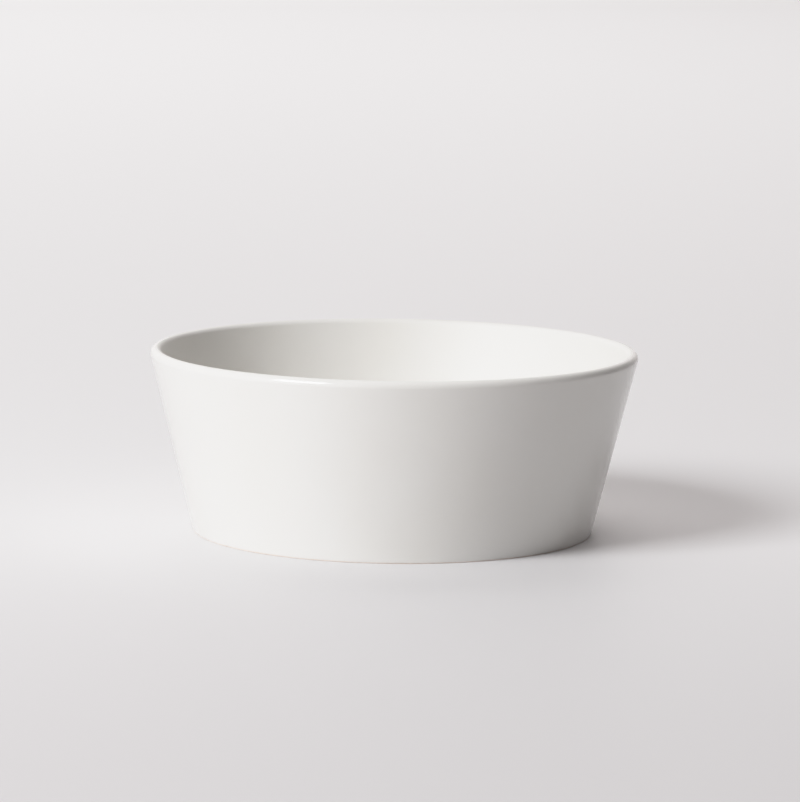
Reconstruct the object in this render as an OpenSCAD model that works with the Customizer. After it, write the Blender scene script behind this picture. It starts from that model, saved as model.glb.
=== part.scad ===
// Latte bowl: a low stoneware bowl with a straight leaning wall and a rounded lip.
// White glaze covers it inside and out and stops just above the table, where the
// clay of the foot ring is left bare so that the bowl did not stick to the kiln shelf.
// A second, separate patch of glaze lines the recess under the foot.
// Millimetres, +Z up, origin at the centre of the face that the bowl stands on.

/* [Bowl] */
// Outside diameter across the glazed lip
rim_d = 140; // [128:1:180]
// Outside diameter of the glazed wall's line, carried down to the table
foot_d = 115; // [80:0.5:126]
// Height from the table to the top of the glazed lip
bowl_h = 52.5; // [36:0.5:90]

/* [Wall] */
// Thickness of the glazed wall at the lip, which is rounded right over
lip_t = 3.4; // [2.4:0.1:5]
// Thickness of the glazed wall, measured level with the inside floor
wall_base_t = 4.4; // [3.4:0.1:8]
// Thickness of the floor from the glazed inside down to the glazed recess
floor_t = 3.8; // [3:0.1:8]
// Radius of the cove between the inside floor and the wall
cove_r = 9; // [3:0.5:20]

/* [Foot] */
// Width of the bare ring face that the bowl stands on
foot_face_w = 3.6; // [2:0.1:10]
// Chamfer along the outer edge of the foot
foot_chamfer = 0.15; // [0.1:0.05:0.5]
// Depth of the recess inside the foot ring
recess_h = 3; // [1.6:0.1:6]
// Lean of the recess wall away from upright, in degrees
recess_lean = 25; // [5:1:50]
// Radius between the recess wall and its ceiling
recess_r = 1.2; // [0.4:0.1:1.5]

/* [Glaze] */
// Thickness of the fired glaze
glaze_t = 0.25; // [0.2:0.05:0.6]
// Height of bare clay between the table and the glaze, outside and in the recess
bare_h = 0.5; // [0.35:0.05:0.8]

/* [Colours] */
// Colour of the fired clay
clay_colour = "#e6d8cb"; // [#e6d8cb, #cdb39a, #b98f6c]
// Colour of the glaze
glaze_colour = "#f1f0ec"; // [#f1f0ec, #e4e0d6, #c9d3d6]

/* [Hidden] */
$fn = 180;

// Angle at which a flat face runs into a round: near enough a tangent, but a clean crossing
meet_angle = 2;

// Lip: a circle that both faces of the wall run into as tangents
lip_r = lip_t / 2;
lip_c = [rim_d / 2 - lip_r, bowl_h - lip_r];

// Outside face of the wall, from its foot on the table up to the lip
wall_foot = [foot_d / 2, 0];
wall_lean = lean_to_lip(wall_foot) + lip_turn(wall_foot);
wall_out = [cos(wall_lean), -sin(wall_lean)];

// Inside face of the wall, from the inside floor up to the lip
floor_z = recess_h + floor_t;
inner_foot = [foot_d / 2 + floor_z * tan(wall_lean) - wall_base_t, floor_z];
inner_lean = lean_to_lip(inner_foot) - lip_turn(inner_foot);
wall_in = [-cos(inner_lean), sin(inner_lean)];

// Cove: a circle that the inside floor and the inside wall run into as tangents
cove_c = [
    inner_foot.x - cove_r * (1 - sin(inner_lean)) / cos(inner_lean),
    floor_z + cove_r
];

// Foot ring, on the bare clay: the flat face and the foot of the recess wall
foot_face_out = wall_r(glaze_t, 0) - foot_chamfer;
foot_face_in = foot_face_out - foot_face_w;
recess_out = [cos(recess_lean), sin(recess_lean)];
recess_foot = [foot_face_in, 0] - glaze_t * recess_out;

// Rounding under the recess ceiling, tangent to the ceiling and the recess wall
recess_c = [
    recess_foot.x - (recess_r + (recess_h - recess_r - recess_foot.y) * recess_out.y) / recess_out.x,
    recess_h - recess_r
];

// Where the two glazes stop: centres of their rounded edges, on the clay
coat_edge_z = bare_h + glaze_t;
coat_edge = [wall_r(glaze_t, coat_edge_z), coat_edge_z];
base_edge = [foot_face_in - coat_edge_z * tan(recess_lean), coat_edge_z];

// How far the trimming shapes reach past what they trim
trim = 2;

// Lean of the line from a point to the middle of the lip
function lean_to_lip(p) = atan2(lip_c.x - p.x, lip_c.y - p.y);

// Turn between that line and the tangent to the lip from the same point
function lip_turn(p) = asin(lip_r / norm(lip_c - p));

// Where each face of the wall meets the lip, with the glazed faces moved depth into the wall
function lip_outside(depth) = lip_c + (lip_r - depth) * cos(meet_angle) * wall_out;
function lip_inside(depth) = lip_c + (lip_r - depth) * cos(meet_angle) * wall_in;

// Radius of the wall's outside face at a height, moved depth into the wall
function wall_r(depth, z) = lip_outside(depth).x - (lip_outside(depth).y - z) * tan(wall_lean);

// Half-section of the bowl without its recess, with the glazed faces moved depth into the clay
module bowl_outline(depth) {
    difference() {
        polygon([
            [0, 0],
            [wall_r(depth, 0) - foot_chamfer, 0],
            [wall_r(depth, foot_chamfer), foot_chamfer],
            lip_outside(depth),
            lip_inside(depth),
            cove_c - (cove_r + depth) * wall_in,
            [cove_c.x, floor_z - depth],
            [0, floor_z - depth]
        ]);
        translate(cove_c)
            circle(r = (cove_r + depth) / cos(meet_angle));
    }
    translate(lip_c)
        circle(r = lip_r - depth);
}

// Half-section of the recess under the foot, with its glazed faces moved depth into the clay
module recess_outline(depth) {
    wall_top = recess_c + (recess_r + depth) * recess_out;
    polygon([
        [0, -trim],
        [wall_top.x + (wall_top.y + trim) * tan(recess_lean), -trim],
        wall_top,
        [recess_c.x, recess_h + depth],
        [0, recess_h + depth]
    ]);
    translate(recess_c)
        circle(r = (recess_r + depth) / cos(meet_angle));
}

// Half-section of the clay
module clay_outline() {
    difference() {
        bowl_outline(glaze_t);
        recess_outline(glaze_t);
    }
}

// Strip that trims a film of glaze square across, at and below its edge on a face of that lean
module below_edge(edge, lean) {
    translate(edge)
        rotate(lean)
            translate([-trim, -3 * trim])
                square([2 * trim, 3 * trim]);
}

// Glaze that ends in a rounded edge on the clay: children are the film and the clay under it
module film_with_edge(edge, lean) {
    difference() {
        children(0);
        below_edge(edge, lean);
    }
    difference() {
        translate(edge)
            circle(r = glaze_t / cos(meet_angle));
        children(1);
    }
}

// Fired clay: wall, floor and foot ring in one piece
module stoneware_body() {
    color(clay_colour)
        rotate_extrude()
            clay_outline();
}

// Glaze over the outside, the lip and the inside, in one unbroken film
module glaze_coat() {
    color(glaze_colour)
        rotate_extrude()
            film_with_edge(coat_edge, -wall_lean) {
                difference() {
                    bowl_outline(0);
                    bowl_outline(glaze_t);
                }
                bowl_outline(glaze_t);
            }
}

// Glaze in the recess, cut off from the rest by the bare foot ring
module base_glaze() {
    color(glaze_colour)
        rotate_extrude()
            film_with_edge(base_edge, recess_lean) {
                difference() {
                    recess_outline(glaze_t);
                    recess_outline(0);
                }
                clay_outline();
            }
}

stoneware_body();
glaze_coat();
base_glaze();
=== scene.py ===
import math

import bpy
import numpy as np
from mathutils import Matrix, Vector


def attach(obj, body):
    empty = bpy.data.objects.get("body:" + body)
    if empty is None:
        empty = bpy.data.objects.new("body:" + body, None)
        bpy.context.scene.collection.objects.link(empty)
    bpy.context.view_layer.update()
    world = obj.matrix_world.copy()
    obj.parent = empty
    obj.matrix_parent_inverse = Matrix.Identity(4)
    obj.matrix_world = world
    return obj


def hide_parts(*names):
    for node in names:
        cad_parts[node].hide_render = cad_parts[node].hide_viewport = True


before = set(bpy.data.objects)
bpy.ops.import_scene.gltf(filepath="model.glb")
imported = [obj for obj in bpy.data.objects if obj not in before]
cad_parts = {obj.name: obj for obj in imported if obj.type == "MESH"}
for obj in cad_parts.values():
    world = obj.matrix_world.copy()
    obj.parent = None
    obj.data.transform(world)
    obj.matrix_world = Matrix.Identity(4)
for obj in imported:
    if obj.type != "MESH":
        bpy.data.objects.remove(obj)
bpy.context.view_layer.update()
print("frame loaded, nodes:", sorted(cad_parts))

mm = 0.001

# Half-section of the bowl in millimetres, with the same sizes as the solids
bowl = {
    "rimD": 140.0,
    "footD": 115.0,  # the wall's line carried down to the table
    "height": 52.5,
    "lipT": 3.4,
    "wallBaseT": 4.4,  # level with the inside floor
    "floorT": 3.8,
    "coveR": 9.0,
    "footFaceW": 3.6,
    "footChamfer": 0.15,  # the solid's, from which the ring's flat face is measured
    "recessH": 3.0,
    "recessLean": math.radians(25),  # from upright
    "recessR": 1.2,
    "glazeT": 0.25,
    "bareH": 0.5,  # bare clay between the table and the glaze in the recess
}

# How finely it is drawn: steps round the axis, then points along each stretch of the half-section
grid = {
    "around": 360,
    "floor": 12,
    "cove": 20,
    "insideWall": 18,
    "lip": 40,
    "outsideWall": 20,
    "thinning": 16,
    "coatEdge": 6,
    "footFace": 8,
    "recessWall": 8,
    "recessBend": 14,
    "recessCeiling": 12,
    "recessEdge": 9,
}
theta = np.linspace(0, 2 * math.pi, grid["around"], endpoint=False)

# Places along the half-section, as radius and height, that follow from the sizes
lipR = bowl["lipT"] / 2
lipC = np.array([bowl["rimD"] / 2 - lipR, bowl["height"] - lipR])
floorZ = bowl["recessH"] + bowl["floorT"]


def leanToLip(foot, side):
    # angle from upright of the line from a foot point to the middle of the lip,
    # turned by the angle whose sine is the lip's radius over the line's length
    run = lipC - foot
    return math.atan2(run[0], run[1]) + side * math.asin(lipR / math.hypot(run[0], run[1]))


wallFoot = np.array([bowl["footD"] / 2, 0.0])
wallLean = leanToLip(wallFoot, 1)
wallOut = np.array([math.cos(wallLean), -math.sin(wallLean)])
wallUp = np.array([math.sin(wallLean), math.cos(wallLean)])
innerFoot = np.array([wallFoot[0] + floorZ * math.tan(wallLean) - bowl["wallBaseT"], floorZ])
innerLean = leanToLip(innerFoot, -1)
coveC = np.array([
    innerFoot[0] - bowl["coveR"] * (1 - math.sin(innerLean)) / math.cos(innerLean),
    floorZ + bowl["coveR"],
])


def wallRadius(depth, z):
    # radius of the outside face at a height, moved in by a depth:
    # the foot's radius, plus height times the lean's slope, less depth over the lean's cosine
    return wallFoot[0] + z * math.tan(wallLean) - depth / math.cos(wallLean)


# Foot ring and recess
recessOut = np.array([math.cos(bowl["recessLean"]), math.sin(bowl["recessLean"])])
recessUp = np.array([-math.sin(bowl["recessLean"]), math.cos(bowl["recessLean"])])
footFaceIn = wallRadius(bowl["glazeT"], 0) - bowl["footChamfer"] - bowl["footFaceW"]
recessFoot = np.array([footFaceIn, 0.0]) - bowl["glazeT"] * recessOut
bendZ = bowl["recessH"] - bowl["recessR"]
bendC = np.array([
    recessFoot[0] - (bowl["recessR"] + (bendZ - recessFoot[1]) * recessOut[1]) / recessOut[0],
    bendZ,
])


def arc(centre, radius, fromAngle, toAngle, count):
    # points at a radius from a centre, at even steps between two angles
    angle = np.linspace(fromAngle, toAngle, count)
    return centre + radius * np.stack([np.cos(angle), np.sin(angle)], 1)


def ease(count):
    # shares from 0 to 1, closer together at both ends: half of one minus the cosine
    return (1 - np.cos(np.linspace(0, math.pi, count)))[:, None] / 2


def line(start, end, count):
    # points from one end to the other, closer together at both ends
    t = ease(count)
    return np.asarray(start) * (1 - t) + np.asarray(end) * t


def insideToLip(depth):
    # along the inside floor from the axis, up the cove and the inside wall and over the lip,
    # moved in by a depth
    floor = line([0.0, floorZ - depth], [coveC[0], floorZ - depth], grid["floor"])
    cove = arc(coveC, bowl["coveR"] + depth, -math.pi / 2, -innerLean, grid["cove"])
    lip = arc(lipC, lipR - depth, math.pi - innerLean, -wallLean, grid["lip"])
    wall = line(cove[-1], lip[0], grid["insideWall"])
    return np.concatenate([floor, cove[1:], wall[1:], lip[1:]])


def recessTop(depth):
    # along the recess ceiling from the axis and down the bend to the recess wall, moved in by a depth
    bend = arc(bendC, bowl["recessR"] + depth, math.pi / 2, bowl["recessLean"], grid["recessBend"])
    ceiling = line([0.0, bowl["recessH"] + depth], bend[0], grid["recessCeiling"])
    return np.concatenate([ceiling, bend[1:]])


def recessRadius(depth, z):
    # radius of the recess wall at a height: the ring's inner radius, less height times the lean's slope,
    # less the part of the film that lies outside the depth over the lean's cosine
    outside = bowl["glazeT"] - depth
    return footFaceIn - z * math.tan(bowl["recessLean"]) - outside / math.cos(bowl["recessLean"])


def waves(rows):
    # height round the axis: sum of cosines, each of a whole number of waves, with a size and a shift
    return sum(size * np.cos(count * theta + shift) for count, size, shift in rows)


def everyAngle(points):
    # the same section at every angle, as an array of radius and one of height
    return [np.repeat(points[:, n][:, None], len(theta), 1) for n in range(2)]


def revolve(name, r, z):
    # surface of revolution: x = radius times sine, y = minus radius times cosine, z = height, where radius
    # and height are arrays of section point by angle in millimetres, and the first and last rows are poles
    rows, cols = r.shape
    ring = np.stack([r * np.sin(theta), -r * np.cos(theta), z], -1)[1:-1].reshape(-1, 3)
    poles = np.array([[0.0, 0.0, z[0].mean()], [0.0, 0.0, z[-1].mean()]])
    verts = np.concatenate([ring, poles]) * mm
    i = np.arange(rows - 3)[:, None] * cols
    j = np.arange(cols)
    k = (j + 1) % cols
    quads = np.stack([i + j, i + k, i + cols + k, i + cols + j], -1).reshape(-1, 4)
    lastRow = (rows - 3) * cols
    fans = np.concatenate([
        np.stack([np.full(cols, len(ring)), k, j], 1),
        np.stack([np.full(cols, len(ring) + 1), lastRow + j, lastRow + k], 1),
    ])
    triangles = np.concatenate([quads[:, [0, 1, 2]], quads[:, [0, 2, 3]], fans])
    a, b, c = (verts[triangles[:, n]] for n in range(3))
    volume = np.einsum("ij,ij->i", a, np.cross(b, c)).sum()
    if volume < 0:  # turn the faces outwards
        quads, fans = quads[:, ::-1], fans[:, ::-1]
    mesh = bpy.data.meshes.new(name)
    mesh.from_pydata(verts, [], quads.tolist() + fans.tolist())
    mesh.polygons.foreach_set("use_smooth", np.ones(len(mesh.polygons), bool))
    mesh.update()
    obj = bpy.data.objects.new(name, mesh)
    bpy.context.scene.collection.objects.link(obj)
    return obj


# Foot of the glaze on the outside: the film thins over the clay until the bare line is nearly flush with
# it, and its edge is a little uneven and nearer the table than the solid's rounded edge
glazeFoot = {
    "thinT": 0.05,  # mm of film left at the edge
    "toe": 0.3,  # mm of bare clay under the edge
    "thinFrom": 2.2,  # mm above the table, where the film starts to thin
    "thinTo": 0.5,
    "chamfer": 0.08,  # mm, along the clay's outer edge
    "edgeWaves": (  # waves round the foot, mm high, shift in radians
        (2, 0.04, 0.4), (3, 0.03, 2.1), (5, 0.03, 4.0), (9, 0.02, 1.2), (14, 0.012, 5.3), (23, 0.008, 0.9),
    ),
}


def clayDepth(z):
    # depth of the clay under the glaze: full above, thin below, and half a cosine wave between them
    share = np.clip((z - glazeFoot["thinTo"]) / (glazeFoot["thinFrom"] - glazeFoot["thinTo"]), 0, 1)
    wave = (1 - np.cos(math.pi * share)) / 2
    return glazeFoot["thinT"] + (bowl["glazeT"] - glazeFoot["thinT"]) * wave


def clayDown(top, bottom):
    # the clay's outside face from the lip down to a height at each angle, closer rows where the film thins
    t = ease(grid["outsideWall"])[1:]
    u = np.linspace(0, 1, grid["thinning"])[1:, None]
    z = np.concatenate([
        np.repeat(top * (1 - t) + glazeFoot["thinFrom"] * t, len(theta), 1),
        glazeFoot["thinFrom"] * (1 - u) + np.broadcast_to(bottom, theta.shape) * u,
    ])
    return wallRadius(clayDepth(z), z), z


def makeCoat():
    # film between the glazed faces and the clay: floor, cove, wall and lip, then down the outside
    # to an edge that is a quarter circle, whose height is the toe plus the waves
    thin = glazeFoot["thinT"]
    toe = glazeFoot["toe"] + waves(glazeFoot["edgeWaves"])
    edge = toe + thin * wallUp[1]
    faces, backs = insideToLip(0.0), insideToLip(bowl["glazeT"])
    t = ease(grid["outsideWall"])[1:]
    faceZ = faces[-1][1] * (1 - t) + (edge + thin * wallOut[1]) * t
    turn = np.linspace(0, math.pi / 2, grid["coatEdge"])[1:-1, None]
    edgeR = wallRadius(thin, edge) + thin * (np.cos(turn) * wallOut[0] - np.sin(turn) * wallUp[0])
    edgeZ = edge + thin * (np.cos(turn) * wallOut[1] - np.sin(turn) * wallUp[1])
    backR, backZ = clayDown(backs[-1][1], toe)
    insideR, insideZ = everyAngle(faces)
    behindR, behindZ = everyAngle(backs)
    r = np.concatenate([insideR, wallRadius(0.0, faceZ), edgeR, backR[::-1], behindR[::-1]])
    z = np.concatenate([insideZ, faceZ, edgeZ, backZ[::-1], behindZ[::-1]])
    return revolve("glazeCoat", r, z)


def makeClay():
    # clay inside the glaze: the same faces moved in by the glaze, down to the chamfered foot ring,
    # across its flat face, up the recess wall and in along the ceiling
    chamfer = glazeFoot["chamfer"]
    top = insideToLip(bowl["glazeT"])
    ceiling = recessTop(bowl["glazeT"])[::-1]
    wallR, wallZ = clayDown(top[-1][1], chamfer)
    faceOut = wallRadius(glazeFoot["thinT"], 0) - chamfer
    under = np.concatenate([
        line([faceOut, 0.0], [footFaceIn, 0.0], grid["footFace"]),
        line([footFaceIn, 0.0], ceiling[0], grid["recessWall"])[1:],
        ceiling[1:],
    ])
    topR, topZ = everyAngle(top)
    underR, underZ = everyAngle(under)
    r = np.concatenate([topR, wallR, underR])
    z = np.concatenate([topZ, wallZ, underZ])
    return revolve("clayBody", r, z)


# Glaze under the foot, in the recess, with an uneven edge
underGlaze = {
    "edgeWaves": (  # waves round the foot, mm high, shift in radians
        (2, 0.06, 1.0), (4, 0.05, 3.3), (7, 0.03, 0.2), (11, 0.02, 4.4),
    ),
}


def makeUnderGlaze():
    # film in the recess: ceiling, bend and wall, and the same faces moved up into the clay,
    # joined by a quarter circle whose height is the bare height plus the waves
    film = bowl["glazeT"]
    edge = bowl["bareH"] + film + waves(underGlaze["edgeWaves"])
    faces, backs = recessTop(0.0), recessTop(film)
    t = np.linspace(0, 1, grid["recessWall"])[1:, None]
    faceZ = faces[-1][1] * (1 - t) + (edge - film * recessOut[1]) * t
    backZ = backs[-1][1] * (1 - t) + (edge - film * recessUp[1]) * t
    turn = np.linspace(0, math.pi / 2, grid["recessEdge"])[1:-1, None]
    edgeR = recessRadius(film, edge) - film * (np.cos(turn) * recessOut[0] + np.sin(turn) * recessUp[0])
    edgeZ = edge - film * (np.cos(turn) * recessOut[1] + np.sin(turn) * recessUp[1])
    ceilingR, ceilingZ = everyAngle(faces)
    behindR, behindZ = everyAngle(backs)
    r = np.concatenate([
        ceilingR, recessRadius(0.0, faceZ), edgeR, recessRadius(film, backZ)[::-1], behindR[::-1],
    ])
    z = np.concatenate([ceilingZ, faceZ, edgeZ, backZ[::-1], behindZ[::-1]])
    return revolve("recessGlaze", r, z)


glazeCoat = makeCoat()
clayBody = makeClay()
recessGlaze = makeUnderGlaze()
for piece in (glazeCoat, clayBody, recessGlaze):
    print("made", piece.name, "faces", len(piece.data.polygons))

mixA, mixB, mixOut = 6, 7, 2  # the Mix node's colour sockets, named as its number sockets are


def hexLinear(text):
    # sRGB hex to linear light: low values over 12.92, the rest raised to the power 2.4
    s = np.array([int(text[n:n + 2], 16) for n in (1, 3, 5)]) / 255
    return (*np.where(s <= 0.04045, s / 12.92, ((s + 0.055) / 1.055) ** 2.4), 1.0)


def patternScale(sizeMm):
    # scale of a pattern from the real size of its marks: one over the size in metres
    return 1 / (sizeMm * mm)


def addNode(tree, kind, inputs=None, **settings):
    # a node with its settings; an input that is a socket is linked, and any other is set
    node = tree.nodes.new(kind)
    for key, value in settings.items():
        setattr(node, key, value)
    for key, value in (inputs or {}).items():
        if isinstance(value, bpy.types.NodeSocket):
            tree.links.new(value, node.inputs[key])
        else:
            node.inputs[key].default_value = value
    return node


def newMaterial(name):
    # a material with an empty node tree
    material = bpy.data.materials.new(name)
    material.use_nodes = True
    material.node_tree.nodes.clear()
    return material, material.node_tree


# Opaque white stoneware glaze, melted glossy in the kiln: a smooth glass skin that mirrors the soft box
# as a crisp line on the lip, over a warm white that is faintly uneven. Inside the bowl and under the foot
# the gloss is softer, so that the walls don't mirror one another in hard streaks
glazeLook = {
    "white": "#f0efec",
    "warm": "#edebe6",
    "toneMm": 30.0,  # width of the faint thick and thin patches
    "toneDetail": 3.0,
    "rough": (0.05, 0.08),
    "roughMm": 9.0,
    "roughDetail": 2.0,
    "insideRough": 0.5,
    "insideBand": (-0.6, 0.2),  # where the gloss changes over the lip, in lip radii from the wall's middle
    "ior": 1.5,
    "peelMm": 5.0,  # width of the soft ripple of the melted surface
    "peelDetail": 1.0,
    "peelDepthMm": 0.004,
}


def glossGlaze():
    material, tree = newMaterial("glossy white stoneware glaze")
    place = addNode(tree, "ShaderNodeTexCoord").outputs["Object"]
    patches = addNode(tree, "ShaderNodeTexNoise", {
        "Vector": place, "Scale": patternScale(glazeLook["toneMm"]), "Detail": glazeLook["toneDetail"],
    })
    colour = addNode(tree, "ShaderNodeMix", {
        0: patches.outputs["Fac"], mixA: hexLinear(glazeLook["white"]), mixB: hexLinear(glazeLook["warm"]),
    }, data_type="RGBA")

    # gloss of the outside, a little uneven
    sheen = addNode(tree, "ShaderNodeTexNoise", {
        "Vector": place, "Scale": patternScale(glazeLook["roughMm"]), "Detail": glazeLook["roughDetail"],
    })
    smooth, dull = glazeLook["rough"]
    outsideRough = addNode(tree, "ShaderNodeMapRange", {
        "Value": sheen.outputs["Fac"], "To Min": smooth, "To Max": dull,
    })

    # how far a point lies outside the cone through the middle of the lip, which leans as the wall does
    axes = addNode(tree, "ShaderNodeSeparateXYZ", {0: place})
    level = addNode(tree, "ShaderNodeCombineXYZ", {"X": axes.outputs["X"], "Y": axes.outputs["Y"]})
    radius = addNode(tree, "ShaderNodeVectorMath", {0: level.outputs[0]}, operation="LENGTH")
    slope = math.tan(wallLean)
    cone = addNode(tree, "ShaderNodeMath", {
        0: axes.outputs["Z"], 1: slope, 2: (lipC[0] - lipC[1] * slope) * mm,
    }, operation="MULTIPLY_ADD")
    outward = addNode(tree, "ShaderNodeMath", {
        0: radius.outputs["Value"], 1: cone.outputs[0],
    }, operation="SUBTRACT")
    inner, outer = (share * lipR * mm for share in glazeLook["insideBand"])
    side = addNode(tree, "ShaderNodeMapRange", {
        "Value": outward.outputs[0], "From Min": inner, "From Max": outer,
    }, interpolation_type="SMOOTHSTEP")
    rough = addNode(tree, "ShaderNodeMapRange", {
        "Value": side.outputs["Result"],
        "To Min": glazeLook["insideRough"], "To Max": outsideRough.outputs["Result"],
    })

    peel = addNode(tree, "ShaderNodeTexNoise", {
        "Vector": place, "Scale": patternScale(glazeLook["peelMm"]), "Detail": glazeLook["peelDetail"],
    })
    bump = addNode(tree, "ShaderNodeBump", {
        "Height": peel.outputs["Fac"], "Distance": glazeLook["peelDepthMm"] * mm,
    })
    shader = addNode(tree, "ShaderNodeBsdfPrincipled", {
        "Base Color": colour.outputs[mixOut], "Roughness": rough.outputs["Result"],
        "IOR": glazeLook["ior"], "Normal": bump.outputs["Normal"],
    })
    addNode(tree, "ShaderNodeOutputMaterial", {"Surface": shader.outputs["BSDF"]})
    return material


# Bare fired stoneware, wiped clean of glaze before firing: a dry, matt, pale pinkish cream with fine grain
# and darker patches, seen as a thin line along the table
clayLook = {
    "pale": "#f6ede7",
    "dark": "#eaddd3",
    "grainMm": 0.4,
    "grainDetail": 4.0,
    "grainRough": 0.6,
    "patchMm": 6.0,
    "patchDetail": 2.0,
    "paleRange": (0.12, 0.42),  # grain times patch, from dark to pale
    "rough": 0.85,
    "grainDepthMm": 0.03,
}


def bareClay():
    material, tree = newMaterial("bare fired stoneware")
    place = addNode(tree, "ShaderNodeTexCoord").outputs["Object"]
    grain = addNode(tree, "ShaderNodeTexNoise", {
        "Vector": place, "Scale": patternScale(clayLook["grainMm"]), "Detail": clayLook["grainDetail"],
        "Roughness": clayLook["grainRough"],
    })
    patches = addNode(tree, "ShaderNodeTexNoise", {
        "Vector": place, "Scale": patternScale(clayLook["patchMm"]), "Detail": clayLook["patchDetail"],
    })
    blend = addNode(tree, "ShaderNodeMath", {
        0: grain.outputs["Fac"], 1: patches.outputs["Fac"],
    }, operation="MULTIPLY")
    low, high = clayLook["paleRange"]
    share = addNode(tree, "ShaderNodeMapRange", {
        "Value": blend.outputs[0], "From Min": low, "From Max": high,
    })
    colour = addNode(tree, "ShaderNodeMix", {
        0: share.outputs["Result"], mixA: hexLinear(clayLook["dark"]), mixB: hexLinear(clayLook["pale"]),
    }, data_type="RGBA")
    bump = addNode(tree, "ShaderNodeBump", {
        "Height": grain.outputs["Fac"], "Distance": clayLook["grainDepthMm"] * mm,
    })
    shader = addNode(tree, "ShaderNodeBsdfPrincipled", {
        "Base Color": colour.outputs[mixOut], "Roughness": clayLook["rough"],
        "Normal": bump.outputs["Normal"],
    })
    addNode(tree, "ShaderNodeOutputMaterial", {"Surface": shader.outputs["BSDF"]})
    return material


glazeMaterial = glossGlaze()
clayMaterial = bareClay()
for piece, material, slot, node in (
    (glazeCoat, glazeMaterial, "white_glaze", "glaze_coat"),
    (clayBody, clayMaterial, "fired_clay", "stoneware_body"),
    (recessGlaze, glazeMaterial, "white_glaze", "base_glaze"),
):
    piece.data.materials.append(material)
    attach(piece, "root")
    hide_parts(node)
print("materials set")

# Plain pale paper with a slight sheen. Its colour is painted darker towards the front and paler towards the
# back: painted shade and painted light, standing in for light that falls off towards the camera and is
# brighter on the paper behind the bowl
floorLook = {
    # the front's darker colour is painted shade, the back's paler colour painted light
    "front": "#d6d4d5",
    "middle": "#efeeef",
    "back": "#f5f4f5",
    "frontRamp": (-0.4, 0.1),  # metres behind the bowl's axis, from the front's colour to the middle's
    "backRamp": (0.05, 0.9),  # and from the middle's to the back's
    "rough": 0.5,
    "specular": 0.35,
    "half": 8.0,  # metres from the middle to a side
    "drop": 0.00002,  # metres under the foot, so that the two faces don't lie in one plane
}


def makeFloor():
    # one square in the plane just under the foot
    h, z = floorLook["half"], -floorLook["drop"]
    mesh = bpy.data.meshes.new("floor")
    mesh.from_pydata([(-h, -h, z), (h, -h, z), (h, h, z), (-h, h, z)], [], [(0, 1, 2, 3)])
    obj = bpy.data.objects.new("floor", mesh)
    bpy.context.scene.collection.objects.link(obj)
    material, tree = newMaterial("pale paper with painted falloff shade")
    place = addNode(tree, "ShaderNodeTexCoord").outputs["Object"]
    behind = addNode(tree, "ShaderNodeSeparateXYZ", {0: place}).outputs["Y"]
    # colour ramps with distance behind the bowl, from painted shade at the front to painted light at the
    # back
    colour = hexLinear(floorLook["front"])
    for rampName, shade in (("frontRamp", "middle"), ("backRamp", "back")):
        low, high = floorLook[rampName]
        ramp = addNode(tree, "ShaderNodeMapRange", {
            "Value": behind, "From Min": low, "From Max": high,
        }, interpolation_type="SMOOTHSTEP")
        mix = addNode(tree, "ShaderNodeMix", {
            0: ramp.outputs["Result"], mixA: colour, mixB: hexLinear(floorLook[shade]),
        }, data_type="RGBA")
        colour = mix.outputs[mixOut]
    shader = addNode(tree, "ShaderNodeBsdfPrincipled", {
        "Base Color": colour, "Roughness": floorLook["rough"], "Specular IOR Level": floorLook["specular"],
    })
    addNode(tree, "ShaderNodeOutputMaterial", {"Surface": shader.outputs["BSDF"]})
    mesh.materials.append(material)


makeFloor()

# Two soft boxes: middle, the point that each faces and size in metres, power, beam's spread in degrees.
# The key lights the bowl from the front left. The other hangs over the paper behind it, with a grid
# that narrows its beam, and doesn't show in any gloss
boxes = {
    "key": {
        "at": (-1.085, -0.943, 1.083), "faces": (0.0, 0.0, 0.0), "wide": 0.7, "tall": 0.75,
        "watts": 24.4, "spread": 180.0, "colour": (0.985, 1.0, 1.015), "inGloss": True,
    },
    "paper": {
        "at": (-0.8, 2.4, 2.0), "faces": (-0.8, 2.4, 0.0), "wide": 3.0, "tall": 3.2,
        "watts": 20.4, "spread": 100.0, "colour": (1.0, 1.0, 1.0), "inGloss": False,
    },
}


def makeBoxes():
    # rectangular area lights, each turned so that it looks at the point that it faces
    for name, box in boxes.items():
        data = bpy.data.lights.new(name, "AREA")
        data.shape = "RECTANGLE"
        data.size, data.size_y = box["wide"], box["tall"]
        data.energy = box["watts"]
        data.spread = math.radians(box["spread"])
        data.color = box["colour"]
        obj = bpy.data.objects.new(name, data)
        obj.visible_glossy = box["inGloss"]
        aim = Vector(box["faces"]) - Vector(box["at"])
        obj.matrix_world = Matrix.Translation(box["at"]) @ aim.to_track_quat("-Z", "Y").to_matrix().to_4x4()
        bpy.context.scene.collection.objects.link(obj)


makeBoxes()

# Room round them: broad glows, each a cosine to a power about a direction, with its strength.
# The direction is a compass angle from the camera and a height angle, in degrees
room = {
    "tint": (1.055, 1.0, 0.985, 1.0),
    "glows": {
        "frontLeft": {"around": -42.0, "up": 12.0, "power": 8.0, "strength": 1.12},
        "overhead": {"around": 60.0, "up": 75.0, "power": 16.0, "strength": 1.35},
        "backdrop": {"around": 180.0, "up": 0.0, "power": 4.0, "strength": 0.75},
        "backLeft": {"around": -150.0, "up": 25.0, "power": 4.0, "strength": 0.35},
        "overBack": {"around": 180.0, "up": 50.0, "power": 8.0, "strength": 0.48},
    },
}


def towards(glow):
    # unit vector from the bowl: sine and minus cosine of the compass angle, shortened by the height angle
    a, e = math.radians(glow["around"]), math.radians(glow["up"])
    return np.array([math.sin(a) * math.cos(e), -math.cos(a) * math.cos(e), math.sin(e)])


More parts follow.
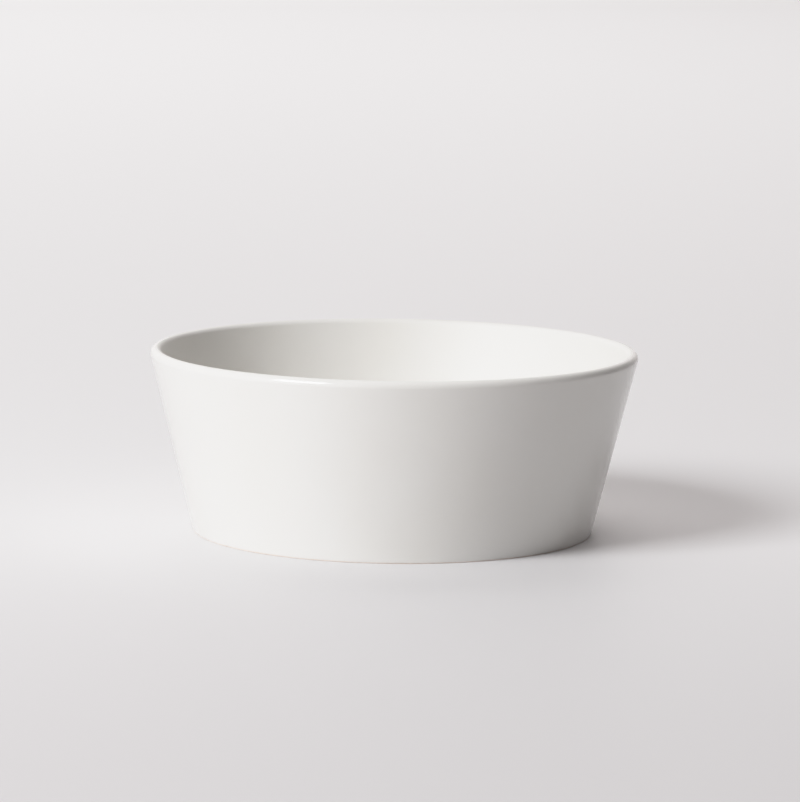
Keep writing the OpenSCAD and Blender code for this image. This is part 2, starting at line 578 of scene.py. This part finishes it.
def makeRoom():
    # world whose strength is the sum of the glows
    world = bpy.data.worlds.new("studio")
    bpy.context.scene.world = world
    world.use_nodes = True
    tree = world.node_tree
    tree.nodes.clear()
    look = addNode(tree, "ShaderNodeTexCoord").outputs["Generated"]
    total = 0.0
    for glow in room["glows"].values():
        facing = addNode(tree, "ShaderNodeVectorMath", {0: look, 1: towards(glow)}, operation="DOT_PRODUCT")
        front = addNode(tree, "ShaderNodeMath", {0: facing.outputs["Value"], 1: 0.0}, operation="MAXIMUM")
        lobe = addNode(tree, "ShaderNodeMath", {0: front.outputs[0], 1: glow["power"]}, operation="POWER")
        added = addNode(tree, "ShaderNodeMath", {
            0: lobe.outputs[0], 1: glow["strength"], 2: total,
        }, operation="MULTIPLY_ADD")
        total = added.outputs[0]
    shine = addNode(tree, "ShaderNodeBackground", {"Color": room["tint"], "Strength": total})
    addNode(tree, "ShaderNodeOutputWorld", {"Surface": shine.outputs[0]})


makeRoom()
print("floor and lights set")

# Camera at the photo's place: focal length in pixels of the 800 by 802 picture, place in millimetres,
# turns in degrees
shot = {
    "focal": 4500.0,
    "longSide": 802.0,
    "sensor": 36.0,
    "back": 1281.8,
    "height": 222.0,
    "yaw": 0.080,
    "pitch": 8.203,
    "roll": -0.7801,
    "clip": (0.05, 40.0),  # metres
}


def makeCamera():
    # looks along +Y turned right by the yaw and down by the pitch, then rolls about its own line of sight
    yaw, pitch, roll = (math.radians(shot[turn]) for turn in ("yaw", "pitch", "roll"))
    ahead = np.array([math.sin(yaw) * math.cos(pitch), math.cos(yaw) * math.cos(pitch), -math.sin(pitch)])
    right = np.array([math.cos(yaw), -math.sin(yaw), 0.0])
    down = np.cross(ahead, right)
    rolledRight = math.cos(roll) * right + math.sin(roll) * down
    rolledDown = math.cos(roll) * down - math.sin(roll) * right
    data = bpy.data.cameras.new("photo")
    data.sensor_width = shot["sensor"]
    data.lens = shot["focal"] * shot["sensor"] / shot["longSide"]
    data.clip_start, data.clip_end = shot["clip"]
    obj = bpy.data.objects.new("photo", data)
    axes = np.stack([rolledRight, -rolledDown, -ahead], 1)
    place = np.array([0.0, -shot["back"], shot["height"]]) * mm
    obj.matrix_world = Matrix.Translation(place) @ Matrix(axes.tolist()).to_4x4()
    bpy.context.scene.collection.objects.link(obj)
    bpy.context.scene.camera = obj


makeCamera()

# Tone of the picture: straight up to the knee, then a soft shoulder, as a camera gives bright whites
tone = {
    "white": 2.0,  # the light at the curve's end
    "points": (  # light and how bright it is shown
        (0.0, 0.0), (0.35, 0.35), (0.7, 0.7), (0.85, 0.818), (1.0, 0.89), (1.3, 0.959), (2.0, 0.996),
    ),
    "allColours": 3,  # the curve that acts on red, green and blue alike
}


def makeTone():
    # a new curve has its two end points; they are moved, and the points between them are added
    view = bpy.context.scene.view_settings
    view.view_transform = "Standard"
    view.use_curve_mapping = True
    mapping = view.curve_mapping
    mapping.white_level = (tone["white"],) * 3
    curve = mapping.curves[tone["allColours"]].points
    first, *between, last = [(light / tone["white"], shown) for light, shown in tone["points"]]
    curve[0].location = first
    curve[-1].location = last
    for point in between:
        curve.new(*point)
    mapping.update()


makeTone()
print("camera and tone set")
